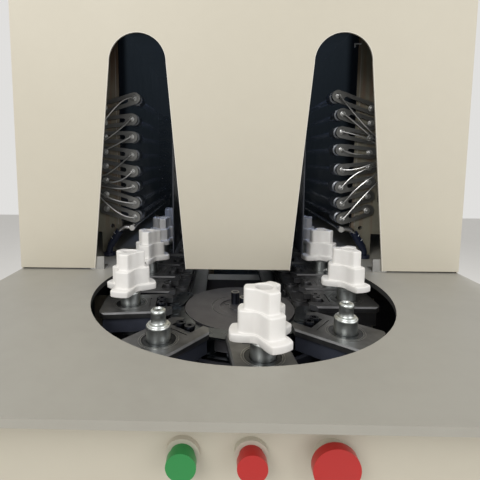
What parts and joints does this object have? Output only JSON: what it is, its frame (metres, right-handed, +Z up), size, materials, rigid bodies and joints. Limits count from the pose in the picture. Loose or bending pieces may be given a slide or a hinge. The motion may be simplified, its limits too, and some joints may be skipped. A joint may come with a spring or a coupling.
{
  "type": "blow moulding machine",
  "caption": "Cabinet bottle blowing machine with a chain of preform spindles turning round an open front plate and passing through two lamp ovens behind a slotted cover.",
  "frame": {"origin": "on the floor under the middle of the machine", "axes": "+X to the machine's right seen from the front, +Y from the front to the rear, +Z up"},
  "size_m": [0.76, 1.3496, 1.56],
  "materials": {
    "panel": "satin",
    "table": "satin",
    "frame": "satin",
    "dark_steel": "satin",
    "bright_steel": "polished",
    "spindle_steel": "polished",
    "cap_plastic": "satin",
    "zinc": "satin",
    "olive": "satin",
    "quartz": "polished",
    "wire": "silver",
    "bakelite": "matt",
    "mirror_sheet": "polished",
    "oven_sheet": "satin",
    "hose": "matt",
    "rubber_foot": "matt",
    "motor": "satin",
    "aluminium": "satin",
    "clear": "polished",
    "black": "matt",
    "green": "polished",
    "red": "polished"
  },
  "bodies": {
    "frame": {"base_frame": "frame", "levelling_feet": "rubber_foot", "table_plate": "table", "front_cover": "panel", "side_covers": "panel", "roof_cover": "panel", "lower_panels": "panel", "control_apron": "panel", "slot_brackets": "zinc", "lamp_posts": "olive", "lamp_arms": "zinc", "lamp_holders": "bright_steel", "quartz_lamps": "quartz", "lamp_screws": "bright_steel", "lamp_wires": "wire", "terminal_strips": "bakelite", "reflectors": "mirror_sheet", "oven_walls": "oven_sheet", "cooling_hoses": "hose", "guide_rods": "bright_steel", "conveyor_bed": "dark_steel", "bearing_housings": "frame", "gear_motor": "motor", "clamp_end_plates": "frame", "tie_bars": "bright_steel", "air_cylinders": "aluminium", "nozzle_bridge": "frame", "bay_cover": "panel"},
    "lower_door": {"lower_door": "panel", "door_handle": "black"},
    "guard_door": {"guard_door": "clear"},
    "start_button": {"start_button": "green"},
    "stop_button": {"stop_button": "red"},
    "emergency_stop": {"emergency_stop": "red"},
    "front_turn": {"front_sprocket": "dark_steel", "front_plates": "dark_steel", "front_blocks": "dark_steel", "front_screws": "black", "front_chain": "dark_steel"},
    "spindle_1": {"spindle_1": "spindle_steel", "cap_left": "cap_plastic"},
    "spindle_2": {"spindle_2": "spindle_steel"},
    "spindle_3": {"spindle_3": "spindle_steel", "cap_front": "cap_plastic"},
    "spindle_4": {"spindle_4": "spindle_steel"},
    "left_run": {"left_carriers": "dark_steel", "left_spindles": "spindle_steel", "left_caps": "cap_plastic"},
    "right_run": {"right_carriers": "dark_steel", "right_spindles": "spindle_steel", "right_caps": "cap_plastic"},
    "rear_turn": {"rear_sprocket": "dark_steel", "rear_carriers": "dark_steel", "rear_spindles": "spindle_steel"},
    "left_clamp": {"left_platen": "frame", "left_mould": "aluminium"},
    "right_clamp": {"right_platen": "frame", "right_mould": "aluminium"},
    "nozzles": {"blow_nozzles": "bright_steel"},
    "stretch": {"stretch_rods": "bright_steel"}
  },
  "joints": [
    {"name": "lower_door_hinge", "type": "hinge", "parent": "frame", "child": "lower_door", "pos_m": [-0.362, -0.6198, 0.4], "axis": [0, 0, -1], "range_deg": [0, 100]},
    {"name": "guard_door_hinge", "type": "hinge", "parent": "frame", "child": "guard_door", "pos_m": [-0.369, 0.6413, 1.2], "axis": [0, 0, 1], "range_deg": [0, 85]},
    {"name": "start_press", "type": "slide", "parent": "frame", "child": "start_button", "axis": [0, 1, 0], "range_m": [0, 0.005], "stiffness_N_per_m": 300},
    {"name": "stop_press", "type": "slide", "parent": "frame", "child": "stop_button", "axis": [0, 1, 0], "range_m": [0, 0.005], "stiffness_N_per_m": 300},
    {"name": "emergency_press", "type": "slide", "parent": "frame", "child": "emergency_stop", "axis": [0, 1, 0], "range_m": [0, 0.005], "stiffness_N_per_m": 500},
    {"name": "chain_index", "type": "hinge", "parent": "frame", "child": "front_turn", "pos_m": [0, -0.3848, 0.9], "axis": [0, 0, 1], "range_deg": [-6.5, 38.5]},
    {"name": "left_run_slide", "type": "slide", "parent": "frame", "child": "left_run", "axis": [0, -1, 0], "range_m": [-0.01104, 0.06523]},
    {"name": "right_run_slide", "type": "slide", "parent": "frame", "child": "right_run", "axis": [0, 1, 0], "range_m": [-0.01104, 0.06523]},
    {"name": "rear_turn_hinge", "type": "hinge", "parent": "frame", "child": "rear_turn", "pos_m": [0, 0.2248, 0.9], "axis": [0, 0, 1], "range_deg": [-6.5, 38.5]},
    {"name": "left_clamp_slide", "type": "slide", "parent": "frame", "child": "left_clamp", "axis": [1, 0, 0], "range_m": [0, 0.08975]},
    {"name": "right_clamp_slide", "type": "slide", "parent": "frame", "child": "right_clamp", "axis": [-1, 0, 0], "range_m": [0, 0.08975]},
    {"name": "nozzle_slide", "type": "slide", "parent": "frame", "child": "nozzles", "axis": [0, 0, -1], "range_m": [0, 0.01]},
    {"name": "stretch_slide", "type": "slide", "parent": "frame", "child": "stretch", "axis": [0, 0, -1], "range_m": [0, 0.14]},
    {"name": "spindle_1_spin", "type": "hinge", "parent": "front_turn", "child": "spindle_1", "pos_m": [-0.16207, -0.40327, 0.9], "axis": [0, 0, 1], "continuous": true},
    {"name": "spindle_2_spin", "type": "hinge", "parent": "front_turn", "child": "spindle_2", "pos_m": [-0.10155, -0.51246, 0.9], "axis": [0, 0, 1], "continuous": true},
    {"name": "spindle_3_spin", "type": "hinge", "parent": "front_turn", "child": "spindle_3", "pos_m": [0.01847, -0.54687, 0.9], "axis": [0, 0, 1], "continuous": true},
    {"name": "spindle_4_spin", "type": "hinge", "parent": "front_turn", "child": "spindle_4", "pos_m": [0.12766, -0.48635, 0.9], "axis": [0, 0, 1], "continuous": true}
  ],
  "couplings": [
    {"joint": "left_run_slide", "follows": "chain_index", "m_per_rad": 0.097021},
    {"joint": "right_run_slide", "follows": "chain_index", "m_per_rad": 0.097021},
    {"joint": "rear_turn_hinge", "follows": "chain_index", "ratio": 1},
    {"joint": "left_clamp_slide", "follows": "right_clamp_slide", "ratio": 1}
  ]
}
